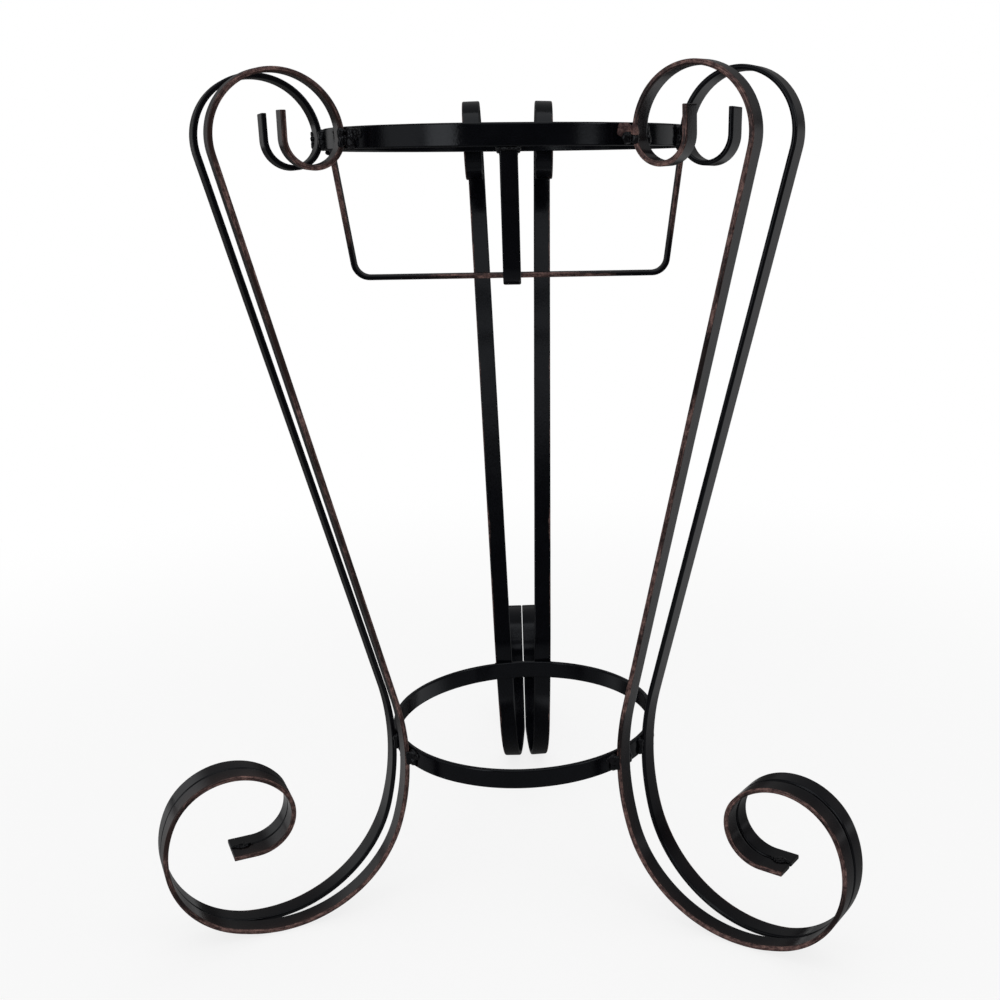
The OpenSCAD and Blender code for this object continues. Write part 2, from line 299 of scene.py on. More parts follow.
def eased_ends(rows, width, thick, inner):
    """The rows of an open bar, with its two cut ends rounded over."""
    for end, beside in ((0, 1), (-1, -2)):
        centre, wide, deep, run = rows[end][0]
        inward = (rows[beside][0][0] - centre).normalized()
        tips = []
        for a in BLUNT_TURNS:
            inset, depth = BLUNT * (1 - cosd(a)), BLUNT * (1 - sind(a))
            tips.append(((centre + inward * depth, wide, deep, run), section(width, thick, inset, inner)))
        clear = [row for row in rows if (row[0][0] - centre).length > BLUNT_REACH]
        rows = tips + clear if end == 0 else clear + tips[::-1]
    return rows


def unevenness(p, offset):
    """How far the surface lies inside its size: long waves with short ones on them."""
    (long, long_share), (short, short_share) = LONG_WAVE, SHORT_WAVE
    long_wave = 0.5 + 0.5 * noise.noise(p / long + offset)
    short_wave = 0.5 + 0.5 * noise.noise(p / short - offset)
    return LEAST_SAG + SAG * (long_share * long_wave + short_share * short_wave)


def linked(name, data):
    ob = bpy.data.objects.new(name, data)
    bpy.context.scene.collection.objects.link(ob)
    return ob


def sweep(name, stations, width, thick, rub, seed, inner=CORNER_R, relief=0.0, closed=False):
    """Mesh of a flat bar along its stations. rub(x, run) gives the wear and the haze at a distance x
    from the middle of its width. The edge at -x stands back by relief, with corners of radius inner."""
    outline = section(width, thick, inner=inner)
    rows = [(station, outline) for station in stations]
    if not closed:
        rows = eased_ends(rows, width, thick, inner)
    around = [0.0]
    for a, b in zip(outline, outline[1:]):
        around.append(around[-1] + (b - a).length)
    offset = Vector([seed * shift for shift in BAR_SHIFT])
    bm = bmesh.new()
    wear, haze, along, girth = [bm.verts.layers.float.new(key) for key in ("rub", "haze", "run", "around")]
    loops = []
    for (centre, wide, deep, run), points in rows:
        loop = []
        for q, way_round in zip(points, around):
            inside = unevenness(centre + wide * q.x + deep * q.y, offset)
            x = q.x * (1 - inside / (width / 2)) + relief * max(0.0, -q.x / (width / 2))
            p = centre + wide * x + deep * q.y * (1 - inside / (thick / 2))
            v = bm.verts.new(p * MM)
            v[wear], v[haze] = rub(q.x, run)
            v[along] = run * MM
            v[girth] = way_round * MM
            loop.append(v)
        loops.append(loop)
    pairs = list(zip(loops, loops[1:]))
    if closed:
        pairs.append((loops[-1], loops[0]))
    for a, b in pairs:
        for k in range(len(outline)):
            j = (k + 1) % len(outline)
            bm.faces.new((a[k], a[j], b[j], b[k]))
    if not closed:
        bm.faces.new(list(reversed(loops[0])))
        bm.faces.new(loops[-1])
    bmesh.ops.recalc_face_normals(bm, faces=bm.faces)
    for f in bm.faces:
        f.smooth = len(f.verts) == 4
    mesh = bpy.data.meshes.new(name)
    bm.to_mesh(mesh)
    bm.free()
    return linked(name, mesh)


# ---- Where the paint is rubbed ----
# Lengths over which the wear fades from an edge onto the face, and a stain from the outer edge
EDGE_FADE, STRAP_FADE, STAIN_FADE = 0.9, 1.2, 7.0
# Share of an edge's wear that the face beside it starts with, share that a spared stretch is short of,
# and haze that goes with a strap's wear
FACE_SHARE, SPARED_SHARE, STRAP_HAZE = 0.8, 0.3, 0.3


def edge_rub(strong, weak, stain=0.0, spared=()):
    """Wear on the edge away from the twin (strong) and on the other (weak), fading onto the faces,
    with a wider stain beside it. Spared stretches (middle, half length) keep most of their paint."""

    def rub(x, run):
        reach = max(BAR_W / 2 - CORNER_R - abs(x), 0.0)
        kept = max((math.exp(-(((run - middle) / half) ** 2)) for middle, half in spared), default=0.0)
        level = (strong if x > 0 else weak) * (1 - SPARED_SHARE * kept)
        fade = 1.0 if reach <= 0 else math.exp(-reach / EDGE_FADE) * FACE_SHARE
        return level * fade, stain * math.exp(-(BAR_W / 2 - x) / STAIN_FADE)

    return rub


def strap_rub(stretches):
    """Wear on both edges of a strap, in stretches given as (middle, half length, level) along its run."""

    def rub(x, run):
        reach = max(STRAP_W / 2 - CORNER_R - abs(x), 0.0)
        levels = (top * max(0.0, 1 - ((run - middle) / half) ** 4) for middle, half, top in stretches)
        level = max(levels, default=0.0)
        return level * math.exp(-reach / STRAP_FADE), STRAP_HAZE * level

    return rub


# ---- Lumps of weld metal ----
FLOW_FACTOR, FLOW_ROUNDS = 0.6, 9
# The metal's coarse and fine bumps: length, and share of the roughness
COARSE_GRAIN, FINE_GRAIN = (1.7, 0.7), (0.8, 0.3)
ROUND = (1, 1, 1)

# A bead is a column of drops in the corner between hoop and bar. R gives their radii and PROUD how far
# they stand out from the hoop, both as shares of the bead's radius, but PROUD in millimetres for bridge
# and pool.
BEAD_DROPS, BEAD_SHORTER = 6, 0.93
DROP_R, DROP_PROUD, DROP_SQUASH = (0.62, 0.84), 0.12, (0.75, 0.95)
DROP_ASIDE, DROP_WANDER = 0.25, (-0.25, 0.35)
# At an outer edge a second column bridges the gap that round drops leave at the bar
BRIDGE_R, BRIDGE_PROUD, BRIDGE_BACK, BRIDGE_SHAPE = (0.48, 0.60), (0.6, 1.4), 0.30, (1.0, 1.0, 0.9)
# Metal that ran out along the hoop beside the upper half of a bead
POOL_DROPS, POOL_R, POOL_PROUD, POOL_SHAPE = 3, (0.38, 0.50), 0.15, (1.0, 1.0, 1.15)
POOL_START, POOL_STEP, POOL_THINNER, POOL_RISE = 0.6, (0.4, 0.9), 0.16, 0.4
# Metal that dripped from the lower end of a bead
DRIP_DROPS, DRIP_R, DRIP_PROUD, DRIP_THINNER, DRIP_SHAPE = 3, 0.5, 0.1, 0.09, (1, 1, 1.2)

# Weld across a foot's end: an oval of drops, filled in the middle, and a run of metal along the seam
OVAL_DROPS, OVAL_R, OVAL_ALONG, OVAL_ACROSS = 9, (1.05, 1.5), 0.36 * FOOT_WELD_D, 0.26 * FOOT_WELD_D
OVAL_PROUD, MIDDLE_PROUD, MIDDLE_R = 0.18, 0.1, 1.5
RUN_DROPS, RUN_R, RUN_LEN, RUN_TAPER, RUN_PROUD, RUN_WANDER = 11, (1.15, 1.75), 12.0, 0.06, 0.2, 1.3

# Welds of the straps
RIM_DROPS, RIM_R, RIM_TAPER, RIM_DOWN, RIM_IN = 4, (1.35, 1.9), 0.12, 0.75, 0.55
RIM_CORNER_OUT, RIM_CORNER_DROP = 1.2, 0.5
FACE_DROPS, FACE_R, FACE_DROP = 5, (1.3, 1.9), 0.9
WELD_PROUD = 0.5
CROSS_DROPS, CROSS_R, CROSS_SHORTER, CROSS_PROUD, CROSS_DROP = 6, (1.0, 1.6), 2.5, 0.35, 0.45

# Wear of each weld's metal
OVAL_WEAR, RUN_WEAR, RIM_WEAR, CROSS_WEAR = 0.15, 0.5, 0.1, 0.05


def fused(name, blobs, voxel):
    """One smooth skin round overlapping drops."""
    bm = bmesh.new()
    for centre, radius, stretch, _ in blobs:
        size = Matrix.Diagonal((*[radius * s * MM for s in stretch], 1.0))
        place = Matrix.Translation(centre * MM) @ size
        bmesh.ops.create_icosphere(bm, subdivisions=3, radius=1.0, matrix=place)
    raw = bpy.data.meshes.new(name + "_raw")
    bm.to_mesh(raw)
    bm.free()
    ob = linked(name, raw)
    remesh = ob.modifiers.new("fuse", "REMESH")
    remesh.mode = "VOXEL"
    remesh.voxel_size = voxel * MM
    flow = ob.modifiers.new("flow", "SMOOTH")
    flow.factor = FLOW_FACTOR
    flow.iterations = FLOW_ROUNDS
    graph = bpy.context.evaluated_depsgraph_get()
    graph.update()
    mesh = bpy.data.meshes.new_from_object(ob.evaluated_get(graph))
    ob.modifiers.clear()
    ob.data = mesh
    bpy.data.meshes.remove(raw)
    mesh.name = name
    return ob


def lumps(name, blobs, voxel, rough, seed):
    """Weld metal from overlapping drops. A blob is (centre, radius, stretch, wear), in millimetres."""
    ob = fused(name, blobs, voxel)
    bm = bmesh.new()
    bm.from_mesh(ob.data)
    bm.normal_update()
    wear = bm.verts.layers.float.new("rub")
    offset = Vector([seed * shift for shift in LUMP_SHIFT])
    (coarse, coarse_share), (fine, fine_share) = COARSE_GRAIN, FINE_GRAIN
    moves = []
    for v in bm.verts:
        p = v.co / MM
        bump = noise.noise(p / coarse + offset) * coarse_share + noise.noise(p / fine - offset) * fine_share
        moves.append(v.normal * (bump * rough - rough / 2) * MM)
        nearest = min(blobs, key=lambda blob: (blob[0] - p).length - blob[1])
        v[wear] = nearest[3]
    for v, move in zip(bm.verts, moves):
        v.co += move
    for f in bm.faces:
        f.smooth = True
    bm.to_mesh(ob.data)
    bm.free()
    return ob


def ring_bead_blobs(angle, side, edge, hoop, rng, wear, drip=0.0, spread=0.0):
    """Drops that fill the corner between a hoop and one edge of a bar. A hoop is
    (diameter, z, v on the bar, bead radius, fullness)."""
    ring_d, ring_z, v, radius, full = hoop
    out, across, up = leg_frame(angle)
    t = edge_t(v, edge) + edge * radius * DROP_ASIDE

    def on_hoop(aside, proud, lean, z):
        u = math.sqrt((ring_d / 2) ** 2 - aside * aside) + proud
        return out * u + across * (side * (aside + lean)) + up * z

    blobs = []
    for k in range(BEAD_DROPS):
        h = (k / (BEAD_DROPS - 1) - 0.5) * BEAD_LEN
        z = ring_z + h * BEAD_SHORTER
        lean = (h / cosd(SPLAY)) * sind(SPLAY)
        upper = k >= BEAD_DROPS / 2
        shine = wear if upper or not spread else 0.0
        aside = t + edge * rng.uniform(*DROP_WANDER) * radius / 2
        r = radius * rng.uniform(*DROP_R) * full
        if edge > 0:
            near = out * (ring_d / 2 + rng.uniform(*BRIDGE_PROUD))
            near += across * (side * (t - radius * BRIDGE_BACK + lean))
            blobs.append((near + up * z, radius * rng.uniform(*BRIDGE_R), BRIDGE_SHAPE, shine))
        squash = (1.0, 1.0, rng.uniform(*DROP_SQUASH))
        blobs.append((on_hoop(aside, radius * DROP_PROUD, lean, z), r, squash, shine))
        for step in range(POOL_DROPS if spread and upper else 0):
            reach = spread * (step + rng.uniform(*POOL_STEP)) / POOL_DROPS
            beyond = aside + edge * (radius * POOL_START + reach)
            r = radius * rng.uniform(*POOL_R) * (1 - POOL_THINNER * step)
            pool = on_hoop(beyond, POOL_PROUD, lean, z + rng.uniform(-POOL_RISE, POOL_RISE))
            blobs.append((pool, r, POOL_SHAPE, shine))
    for k in range(DRIP_DROPS if drip else 0):
        low = ring_z - BEAD_LEN / 2 - drip * (k + 1) / DRIP_DROPS
        centre = on_hoop(t, radius * DRIP_PROUD, 0.0, low)
        blobs.append((centre, radius * (DRIP_R - DRIP_THINNER * k), DRIP_SHAPE, wear))
    return blobs


def foot_weld_blobs(angle, rng):
    out, across, up = leg_frame(angle)
    along, inner = -ray(EYE_END + 90), -ray(EYE_END)
    seat = FOOT_TIP + along * (FOOT_END_LEN / 2) + inner * (BAR_T / 2)

    def drop(point, aside, r, wear):
        return out * point.x + across * aside + up * (FLOOR_Z + point.y), r, ROUND, wear

    blobs = []
    for k in range(OVAL_DROPS):
        a = 360 * k / OVAL_DROPS
        r = rng.uniform(*OVAL_R)
        point = seat + along * (OVAL_ALONG * cosd(a)) + inner * (OVAL_PROUD * r)
        blobs.append(drop(point, OVAL_ACROSS * sind(a), r, OVAL_WEAR))
    blobs.append(drop(seat + inner * MIDDLE_PROUD, 0.0, MIDDLE_R, OVAL_WEAR))
    for k in range(RUN_DROPS):
        step = -RUN_LEN / 2 + RUN_LEN * k / (RUN_DROPS - 1)
        r = rng.uniform(*RUN_R) * (1 - RUN_TAPER * abs(step))
        point = seat + along * step + inner * (RUN_PROUD * r)
        blobs.append(drop(point, rng.uniform(-RUN_WANDER, RUN_WANDER), r, RUN_WEAR))
    return blobs


def rim_weld_blobs(rng):
    """Beads down both edges of each strap end, and one across its outer face."""
    low = TOP_RING_Z - BAR_W / 2
    blobs = []
    for a in (0, 90, 180, 270):
        out, across, up = leg_frame(a)
        for side in (-1, 1):
            beside = across * (side * (STRAP_W / 2 + WELD_PROUD))
            for k in range(RIM_DROPS):
                r = rng.uniform(*RIM_R) * (1 - RIM_TAPER * k)
                u = STRAP_END_U + RIM_CORNER_OUT - RIM_IN * k
                centre = out * u + beside + up * (low - RIM_CORNER_DROP - RIM_DOWN * k)
                blobs.append((centre, r, ROUND, RIM_WEAR))
        face = out * (STRAP_END_U + STRAP_T / 2 + WELD_PROUD)
        for k in range(FACE_DROPS):
            aside = (k / (FACE_DROPS - 1) - 0.5) * STRAP_W
            centre = face + across * aside + up * (low - FACE_DROP)
            blobs.append((centre, rng.uniform(*FACE_R), ROUND, RIM_WEAR))
    return blobs


def cross_weld_blobs(rng):
    """Beads along both edges of the lower strap, under the upper one."""
    z = SIDE_Z + STRAP_T / 2 - CROSS_DROP
    blobs = []
    for side in (-1, 1):
        for k in range(CROSS_DROPS):
            x = (k / (CROSS_DROPS - 1) - 0.5) * (STRAP_W - CROSS_SHORTER)
            centre = Vector((x, side * (STRAP_W / 2 + CROSS_PROUD), z))
            blobs.append((centre, rng.uniform(*CROSS_R), ROUND, CROSS_WEAR))
    return blobs


# ---- Node trees ----
class Nodes:
    """Builds the node tree of a material or a world. An input is named by its label with _ for a
    space, or as _0, _1 and so on by its place."""

    def __init__(self, owner):
        owner.use_nodes = True
        self.tree = owner.node_tree
        self.tree.nodes.clear()

    def add(self, kind, props=None, **inputs):
        node = self.tree.nodes.new(kind)
        for key, value in (props or {}).items():
            setattr(node, key, value)
        for key, value in inputs.items():
            self.put(node, key, value)
        return node

    def put(self, node, key, value):
        by_place = key[0] == "_" and key[1:].isdigit()
        socket = node.inputs[int(key[1:]) if by_place else key.replace("_", " ")]
        if isinstance(value, bpy.types.NodeSocket):
            self.tree.links.new(value, socket)
        else:
            socket.default_value = value

    def noise(self, vector, scale, detail=3.0, rough=0.55, distortion=0.0):
        props = dict(Scale=scale, Detail=detail, Roughness=rough, Distortion=distortion)
        return self.add("ShaderNodeTexNoise", Vector=vector, **props).outputs["Fac"]

    def math(self, op, a, b, clamp=False):
        return self.add("ShaderNodeMath", {"operation": op, "use_clamp": clamp}, _0=a, _1=b).outputs[0]

    def times(self, a, b):
        return self.math("MULTIPLY", a, b)

    def plus(self, a, b, clamp=False):
        return self.math("ADD", a, b, clamp)

    def band(self, value, low, high, to_low=0.0, to_high=1.0):
        """A smooth step from to_low at low to to_high at high."""
        props = {"interpolation_type": "SMOOTHSTEP"}
        node = self.add("ShaderNodeMapRange", props, _0=value, _1=low, _2=high, _3=to_low, _4=to_high)
        return node.outputs[0]

    def mix(self, share, a, b):
        return self.add("ShaderNodeMix", {"data_type": "RGBA"}, _0=share, _6=a, _7=b).outputs[2]

    def attribute(self, name):
        return self.add("ShaderNodeAttribute", {"attribute_name": name}).outputs["Fac"]

    def combine(self, x, y, z):
        return self.add("ShaderNodeCombineXYZ", _0=x, _1=y, _2=z).outputs[0]

    def vector(self, op, a, b=None):
        node = self.add("ShaderNodeVectorMath", {"operation": op}, _0=a)
        if b is not None:
            self.put(node, "_1", b)
        return node.outputs["Value" if op == "LENGTH" else "Vector"]

    def axes(self, vector):
        return self.add("ShaderNodeSeparateXYZ", _0=vector).outputs

    def finish(self, kind, shader):
        self.tree.links.new(shader.outputs[0], self.add(kind).inputs["Surface"])


# ---- Paint ----
# Patterns in the finish, in repeats per metre
CLOUD, BLOTCH, TONE, GRIT, FINE = 26.0, 85.0, 300.0, 620.0, 1500.0
# Drag marks along a bar and long stretches of wear, in repeats per metre along it, round it and upwards
DRAG_ALONG, DRAG_ROUND = 130.0, 1500.0
STRETCH_ALONG, STRETCH_ROUND, STRETCH_UP = 34.0, 60.0, 3.0
# Wear at which copper begins to show and at which it covers the paint
COPPER_FROM, COPPER_FULL = 2.06, 2.62
COPPER_DARK, COPPER_LIGHT = (0.050, 0.025, 0.025, 1), (0.32, 0.185, 0.160, 1)
COPPER_GRIME = (0.020, 0.012, 0.011, 1)
BROWN_HAZE = (0.020, 0.011, 0.0095, 1)
# Shares of the patterns that break up the wear, in the copper's tone and in the relief
DRAG_SHARE, GRIT_SHARE, STRETCH_SHARE, BROKEN_SHARE = 0.8, 0.35, 1.9, 0.9
TONE_SHARE, TONE_DRAG_SHARE = 0.55, 0.45
GRIT_HEIGHT, FINE_HEIGHT, WORN_HEIGHT, RELIEF = 0.8, 0.35, 0.5, 0.0004
WORN_ROUGH, GRIT_ROUGH, WORN_METAL = 0.28, 0.10, 0.35
PAINT_SPECULAR, PAINT_TINT = 0.42, (0.88, 0.93, 1.0, 1)


def paint(name, dark, light, copper=1.0, gloss=(0.09, 0.19), streaks=True, peel=0.10):
    """Glossy black over a copper rub that shows where the finish is worn."""
    material = bpy.data.materials.new(name)
    n = Nodes(material)
    place = n.add("ShaderNodeTexCoord").outputs["Object"]
    cloud = n.noise(place, CLOUD, detail=4.0, rough=0.6)
    blotch = n.noise(place, BLOTCH, detail=4.0, rough=0.6, distortion=0.3)
    patch = n.noise(place, TONE, detail=4.0, rough=0.7)
    grit = n.noise(place, GRIT, detail=3.0, rough=0.65)
    fine = n.noise(place, FINE, detail=2.0, rough=0.6)
    rub, haze = n.attribute("rub"), n.attribute("haze")
    drag, stretch = blotch, cloud
    if streaks:
        run, around = n.attribute("run"), n.attribute("around")
        rise = n.times(n.axes(place)[2], STRETCH_UP)
        lines = n.combine(n.times(run, DRAG_ALONG), n.times(around, DRAG_ROUND), 0.0)
        drag = n.noise(lines, 1.0, rough=0.6)
        areas = n.combine(n.times(run, STRETCH_ALONG), n.times(around, STRETCH_ROUND), rise)
        stretch = n.noise(areas, 1.0)
    # Wear: strong along the edge, in long stretches broken up by drag marks and grit
    broken = n.plus(n.times(drag, DRAG_SHARE), n.times(grit, GRIT_SHARE))
    broken = n.plus(broken, n.times(stretch, STRETCH_SHARE))
    level = n.plus(rub, n.times(broken, BROKEN_SHARE))
    worn = n.times(n.band(level, COPPER_FROM, COPPER_FULL), copper)
    tone = n.plus(n.times(patch, TONE_SHARE), n.times(drag, TONE_DRAG_SHARE))
    bare = n.mix(n.band(tone, 0.38, 0.68), COPPER_DARK, COPPER_LIGHT)
    bare = n.mix(n.band(fine, 0.56, 0.70), bare, COPPER_GRIME)
    black = n.mix(n.band(blotch, 0.25, 0.75), dark, light)
    stained = n.math("MULTIPLY", haze, n.band(cloud, 0.3, 0.7, 0.3, 1.0), True)
    black = n.mix(stained, black, BROWN_HAZE)
    rough = n.plus(n.band(cloud, 0.2, 0.8, *gloss), n.times(worn, WORN_ROUGH))
    rough = n.plus(rough, n.times(n.math("SUBTRACT", grit, 0.5), GRIT_ROUGH), True)
    height = n.plus(n.times(grit, GRIT_HEIGHT), n.times(fine, FINE_HEIGHT))
    height = n.plus(height, n.times(worn, WORN_HEIGHT))
    bump = n.add("ShaderNodeBump", Height=height, Strength=peel, Distance=RELIEF).outputs[0]
    colour = n.mix(worn, black, bare)
    shader = n.add("ShaderNodeBsdfPrincipled", Base_Color=colour, Roughness=rough, Normal=bump)
    n.put(shader, "Metallic", n.times(worn, WORN_METAL))
    n.put(shader, "Specular IOR Level", PAINT_SPECULAR)
    n.put(shader, "Specular Tint", PAINT_TINT)
    n.finish("ShaderNodeOutputMaterial", shader)
    return material


frame_black = paint("frame_black", dark=(0.0006, 0.0007, 0.0014, 1), light=(0.0015, 0.0016, 0.0026, 1))
strap_black = paint(
    "strap_black",
    dark=(0.0006, 0.0006, 0.0014, 1),
    light=(0.0016, 0.0015, 0.0025, 1),
    copper=0.9,
)
weld_black = paint(
    "weld_black",
    dark=(0.0008, 0.0008, 0.0014, 1),
    light=(0.0050, 0.0044, 0.0050, 1),
    gloss=(0.09, 0.24),
    streaks=False,
    peel=0.20,
)


def finish_piece(ob, material, node):
    ob.data.materials.clear()
    ob.data.materials.append(material)
    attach(ob, "root")
    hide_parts(node)


# ---- Hoops ----
HOOP_WEAR = edge_rub(0.28, 0.28)
for seed, name, diameter, z in (
    (1, "top_ring", TOP_RING_D, TOP_RING_Z),
    (2, "bottom_ring", BOTTOM_RING_D, BOTTOM_RING_Z),
):
    stations = hoop_stations(diameter, z)
    hoop = sweep("stand_" + name, stations, BAR_W, BAR_T, HOOP_WEAR, seed, closed=True)
    finish_piece(hoop, frame_black, name)

# ---- Leg bars ----
INNER_WEAR = 0.05
# Leg, side, node, wear of the outer edge, stain beside it, spared stretches along the run
TWINS = (
    ("left", 1, "left_leg_front_bar", 0.94, 1.4, ((947, 17), (842, 14), (720, 30), (560, 25), (165, 14))),
    ("left", -1, "left_leg_rear_bar", 0.9, 0.3, ()),
    ("right", -1, "right_leg_front_bar", 1.04, 0.6, ((935, 12), (700, 22), (455, 20), (200, 14))),
    ("right", 1, "right_leg_rear_bar", 0.9, 0.3, ()),
    ("back", 1, "back_leg_left_bar", 0.9, 0.0, ()),
    ("back", -1, "back_leg_right_bar", 0.85, 0.0, ()),
)
for seed, (leg, side, node, strong, stain, spared) in enumerate(TWINS, 3):
    stations = bar_stations(LEGS[leg], side, BACK_DROP if leg == "back" else 0.0)
    wear = edge_rub(strong, INNER_WEAR, stain, spared)
    inner, relief = SEAM_CORNER_R[leg], SEAM[leg]
    bar = sweep("stand_" + node, stations, BAR_W, BAR_T, wear, seed, inner, relief)
    finish_piece(bar, frame_black, node)

# ---- Cradle straps ----
SIDE_WEAR = ((25.0, 45.0, 1.15), (175.0, 80.0, 1.1), (318.0, 38.0, 0.95))
for seed, node, z, along, stretches in (
    (11, "cradle_side_strap", SIDE_Z, Vector((1, 0, 0)), SIDE_WEAR),
    (12, "cradle_cross_strap", CROSS_Z, Vector((0, 1, 0)), ()),
):
    stations = strap_stations(z, along)
    strap = sweep("stand_" + node, stations, STRAP_W, STRAP_T, strap_rub(stretches), seed)
    finish_piece(strap, strap_black, node)

# ---- Welds ----
BEAD_VOXEL, RIM_VOXEL, SMALL_VOXEL = 0.42, 0.35, 0.3
TOP_HOOP = (TOP_RING_D, TOP_RING_Z, SCROLL_V, TOP_BEAD_R, 1.0)
BOTTOM_HOOP = (BOTTOM_RING_D, BOTTOM_RING_Z, WAIST_V, BOTTOM_BEAD_R, 1.12)
# Single beads, as (leg, side, edge): how far some ran out along their hoop, one rubbed bare, one that dripped
TOP_POOLS = {("right", -1, 1): 2.4, ("left", 1, 1): 6.0}
BOTTOM_POOLS = {("right", -1, 1): 3.0, ("left", 1, 1): 3.5}
BARE_BEAD, DRIPPED_BEAD = ("right", -1, 1), ("right", 1, -1)
TOP_WEAR, BARE_WEAR, BOTTOM_WEAR, DRIP_LEN = 0.25, 1.75, 0.2, 3.5
TOP_ROUGH, BOTTOM_ROUGH, FOOT_ROUGH, RIM_ROUGH, CROSS_ROUGH = 0.30, 0.26, 0.12, 0.14, 0.12
LUMP_SEED = {"left": 4, "right": 5, "back": 4}


def weld(name, node, blobs, voxel, rough, seed):
    finish_piece(lumps("stand_" + name, blobs, voxel, rough, seed), weld_black, node)


rng = random.Random(41)
for leg, angle in LEGS.items():
    top, bottom = [], []
    for side in (-1, 1):
        for edge in (-1, 1):
            bead = (leg, side, edge)
            wear = BARE_WEAR if bead == BARE_BEAD else TOP_WEAR
            drip = DRIP_LEN if bead == DRIPPED_BEAD else 0.0
            top += ring_bead_blobs(angle, side, edge, TOP_HOOP, rng, wear, drip, TOP_POOLS.get(bead, 0.0))
            pool = BOTTOM_POOLS.get(bead, 0.0)
            bottom += ring_bead_blobs(angle, side, edge, BOTTOM_HOOP, rng, BOTTOM_WEAR, spread=pool)
    seed = LUMP_SEED[leg]
    weld(leg + "_top_welds", leg + "_leg_top_welds", top, BEAD_VOXEL, TOP_ROUGH, seed)
    weld(leg + "_bottom_welds", leg + "_leg_bottom_welds", bottom, BEAD_VOXEL, BOTTOM_ROUGH, seed + 3)
    foot = foot_weld_blobs(angle, rng)
    weld(leg + "_foot_weld", leg + "_foot_weld", foot, SMALL_VOXEL, FOOT_ROUGH, seed + 6)
weld("cradle_rim_welds", "cradle_rim_welds", rim_weld_blobs(rng), RIM_VOXEL, RIM_ROUGH, 20)
weld("cradle_cross_welds", "cradle_cross_welds", cross_weld_blobs(rng), SMALL_VOXEL, CROSS_ROUGH, 21)

# ---- Studio ----
# What gloss sees: the floor before and behind the stand, the room at eye level and above it
FRONT_FLOOR, BACK_FLOOR, SIDE_GLOSS, HIGH_GLOSS = 0.15, 0.05, 0.045, 0.15
# Lighter corners behind the stand, and how far round each begins: 0 is straight ahead, 1 is beside it
LEFT_CORNER, RIGHT_CORNER = 0.34, 0.44
LEFT_FROM_FLOOR, LEFT_FROM_ROOM, LEFT_FADE = 0.74, 0.46, 0.2
RIGHT_FROM, RIGHT_FULL = 0.38, 0.76
CORNERS_BEHIND = 0.40
# The corners fade out between these heights, and from the floor up to a height the right one loses light
CORNER_TOP_FROM, CORNER_TOP_END = 0.3, 0.6
RIGHT_LOW_HEIGHT, RIGHT_HIGH_SHARE = 0.16, 0.25
# Heights over which the room turns from SIDE_GLOSS to HIGH_GLOSS: beside the stand, and behind it
HIGH_FROM, HIGH_FULL = 0.22, 0.50
BEHIND_FROM, BEHIND_FULL = 0.05, 0.30
# The room's own light on the stand
ROOM_LEVEL = 0.7
FLOOR_R, FLOOR_DROP, FLOOR_SIDES = 6.0, 0.0004, 96
# Distances over which its glow to the camera grows from the least share to all, and its gloss becomes
# the room's
GLOW_NEAR, GLOW_FAR, GLOW_LEAST = 0.35, 1.1, 0.8
GLOSS_NEAR, GLOSS_FAR = 0.3, 1.4
PAPER_DULL, PAPER_BRIGHT = (0.84, 0.84, 0.84, 1), (0.88, 0.88, 0.88, 1)
WHITE = (1, 1, 1, 1)


def compass(nodes, vector):
    """The two parts of a direction on the floor plan, to the right and away from the viewer."""
    return nodes.axes(nodes.vector("NORMALIZE", nodes.vector("MULTIPLY", vector, (1, 1, 0))))


def corner_glow(nodes, parts, left_from, right_share=1.0):
    """Extra gloss level toward the two corners behind the stand."""
    left = nodes.times(nodes.band(parts[0], -left_from, -left_from - LEFT_FADE), LEFT_CORNER)
    right = nodes.times(nodes.band(parts[0], RIGHT_FROM, RIGHT_FULL), RIGHT_CORNER)
    both = nodes.plus(left, nodes.times(right, right_share))
    return nodes.times(both, nodes.band(parts[1], 0.0, CORNERS_BEHIND))


def floor_paper():
    """White paper. The camera sees it glow, less so near the stand, which keeps the shadow. Gloss
    sees it dim."""
    material = bpy.data.materials.new("studio_floor")
    n = Nodes(material)
    place = n.add("ShaderNodeTexCoord").outputs["Object"]
    far = n.vector("LENGTH", place)
    tone = n.noise(place, 3.0, 2.0)
    light = n.add("ShaderNodeLightPath").outputs
    seen = n.math("MAXIMUM", light["Is Glossy Ray"], light["Is Transmission Ray"])
    seen = n.math("MAXIMUM", light["Is Camera Ray"], seen)
    share = n.times(seen, n.band(far, GLOW_NEAR, GLOW_FAR, GLOW_LEAST, 1.0))
    share = n.math("MAXIMUM", share, light["Is Glossy Ray"])
    parts = compass(n, place)
    near = n.band(parts[1], 0.0, 0.35, FRONT_FLOOR - SIDE_GLOSS, BACK_FLOOR - SIDE_GLOSS)
    base = n.plus(n.times(near, n.band(far, GLOSS_NEAR, GLOSS_FAR, 1.0, 0.0)), SIDE_GLOSS - 1.0)
    glossy = n.plus(corner_glow(n, parts, LEFT_FROM_FLOOR), base)
    level = n.plus(n.times(light["Is Glossy Ray"], glossy), 1.0)
    diffuse = n.add("ShaderNodeBsdfDiffuse", Color=n.mix(tone, PAPER_DULL, PAPER_BRIGHT)).outputs[0]
    glow = n.add("ShaderNodeEmission", Color=WHITE, Strength=level).outputs[0]
    n.finish("ShaderNodeOutputMaterial", n.add("ShaderNodeMixShader", _0=share, _1=diffuse, _2=glow))
    return material


